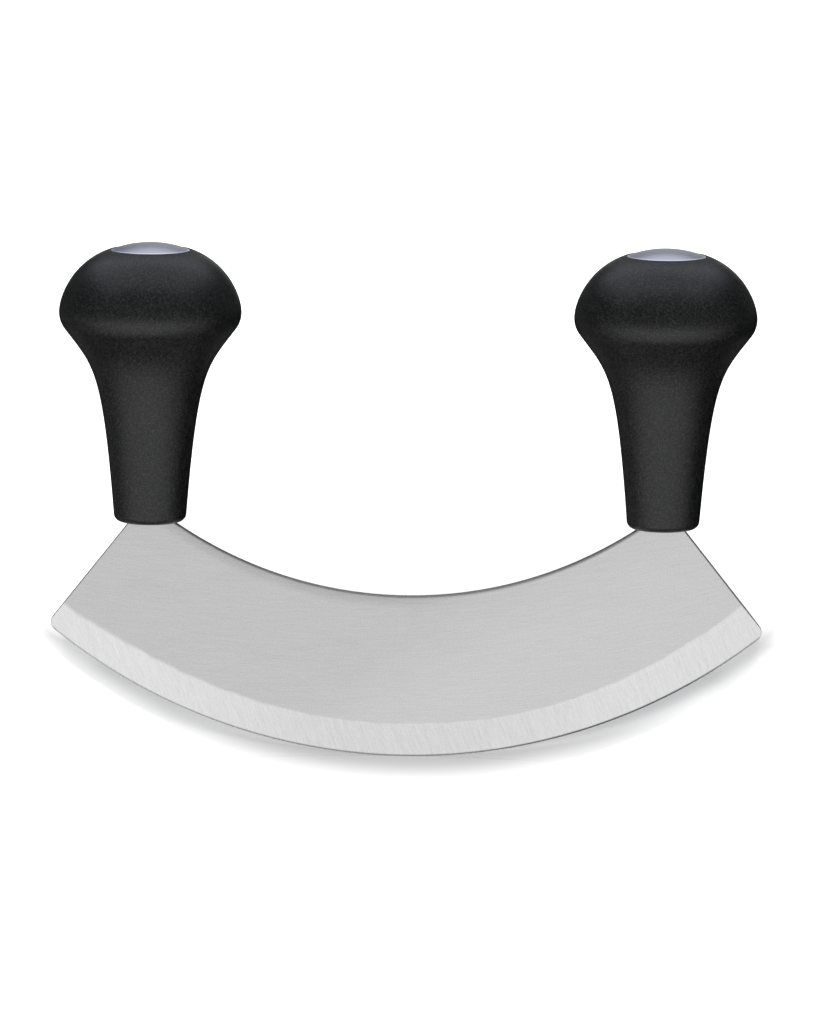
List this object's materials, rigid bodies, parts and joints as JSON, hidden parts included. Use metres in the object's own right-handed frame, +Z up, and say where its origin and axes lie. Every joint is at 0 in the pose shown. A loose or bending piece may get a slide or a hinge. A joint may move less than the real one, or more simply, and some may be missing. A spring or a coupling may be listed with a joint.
{
  "type": "mezzaluna",
  "caption": "Mezzaluna with a crescent-shaped rocking blade, bevelled along its curved edge, and an upright mushroom-shaped grip with a domed steel cap at each end.",
  "frame": {"origin": "under the middle of the blade, level with the lowest point of its cutting edge", "axes": "+X along the blade to the right grip, +Y through the blade from its front face to its back face, +Z up from the cutting edge to the caps"},
  "size_m": [0.18, 0.046, 0.1303],
  "materials": {
    "blade_steel": "fine brushed sheet, with a brighter ground bevel",
    "sleeve_black": "matte, finely grained soft-touch",
    "core_grey": "plain moulded",
    "fastener_steel": "bright turned",
    "cap_steel": "satin drawn"
  },
  "bodies": {
    "root": {"blade": "blade_steel", "left_grip_sleeve": "sleeve_black", "left_grip_core": "core_grey", "left_tang_stud": "fastener_steel", "left_washer": "fastener_steel", "left_nut": "fastener_steel", "left_end_cap": "cap_steel", "right_grip_sleeve": "sleeve_black", "right_grip_core": "core_grey", "right_tang_stud": "fastener_steel", "right_washer": "fastener_steel", "right_nut": "fastener_steel", "right_end_cap": "cap_steel"}
  },
  "joints": []
}
